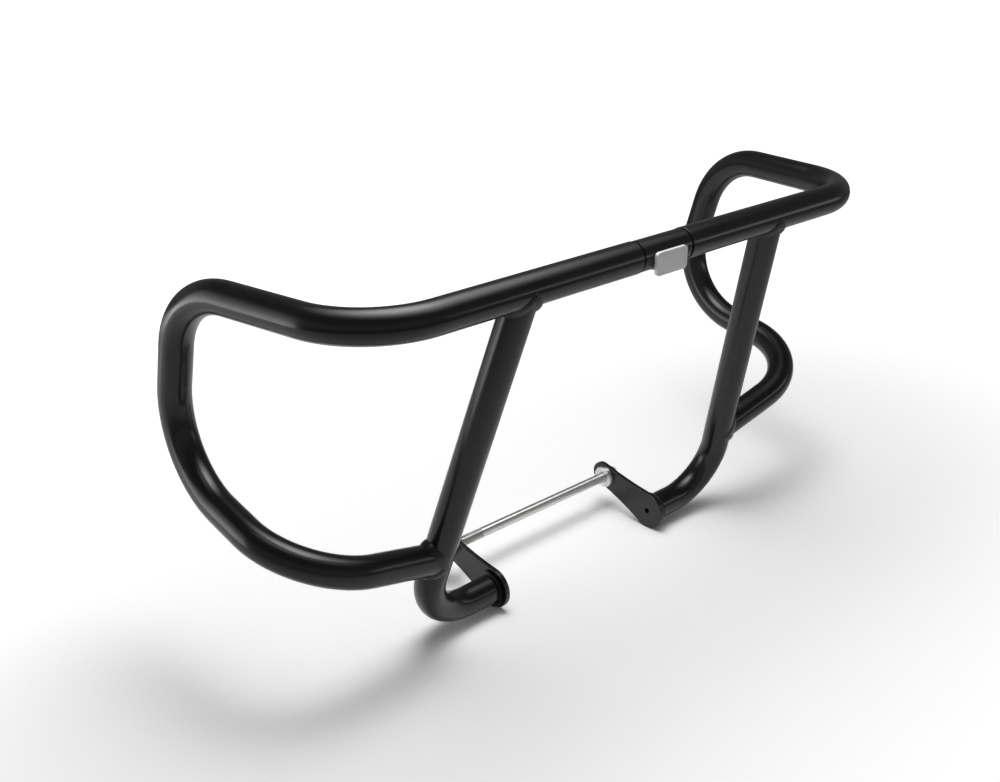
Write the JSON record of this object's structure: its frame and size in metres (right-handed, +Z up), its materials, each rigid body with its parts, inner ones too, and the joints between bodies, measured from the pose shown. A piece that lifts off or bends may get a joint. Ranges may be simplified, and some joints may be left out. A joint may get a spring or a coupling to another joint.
{
  "type": "motorcycle crash bars",
  "caption": "Bent tubular engine guard: a centre bar with a loop on each side, struts down to mounting plates, and a through bolt that clamps the plates to the frame.",
  "frame": {"origin": "middle of the through bolt's axis, halfway between the mounting plates", "axes": "+X across the motorcycle to the bolt head's side, -Y forward, +Z up as fitted"},
  "size_m": [0.698, 0.2557, 0.3555],
  "materials": {
    "black_coat": "satin black powder coat",
    "bright_steel": "bright zinc plate",
    "badge_silver": "satin silver"
  },
  "bodies": {
    "root": {"left_bar": "black_coat", "right_bar": "black_coat", "left_strut": "black_coat", "right_strut": "black_coat", "centre_joint": "black_coat", "left_plate": "black_coat", "right_plate": "black_coat", "left_strut_top_weld": "black_coat", "right_strut_top_weld": "black_coat", "left_loop_weld": "black_coat", "right_loop_weld": "black_coat", "left_plate_weld": "black_coat", "right_plate_weld": "black_coat", "through_bolt": "bright_steel", "bolt_nut": "bright_steel", "head_washer": "bright_steel", "nut_washer": "bright_steel", "left_collar": "bright_steel", "right_collar": "bright_steel", "badge": "badge_silver"}
  },
  "joints": []
}
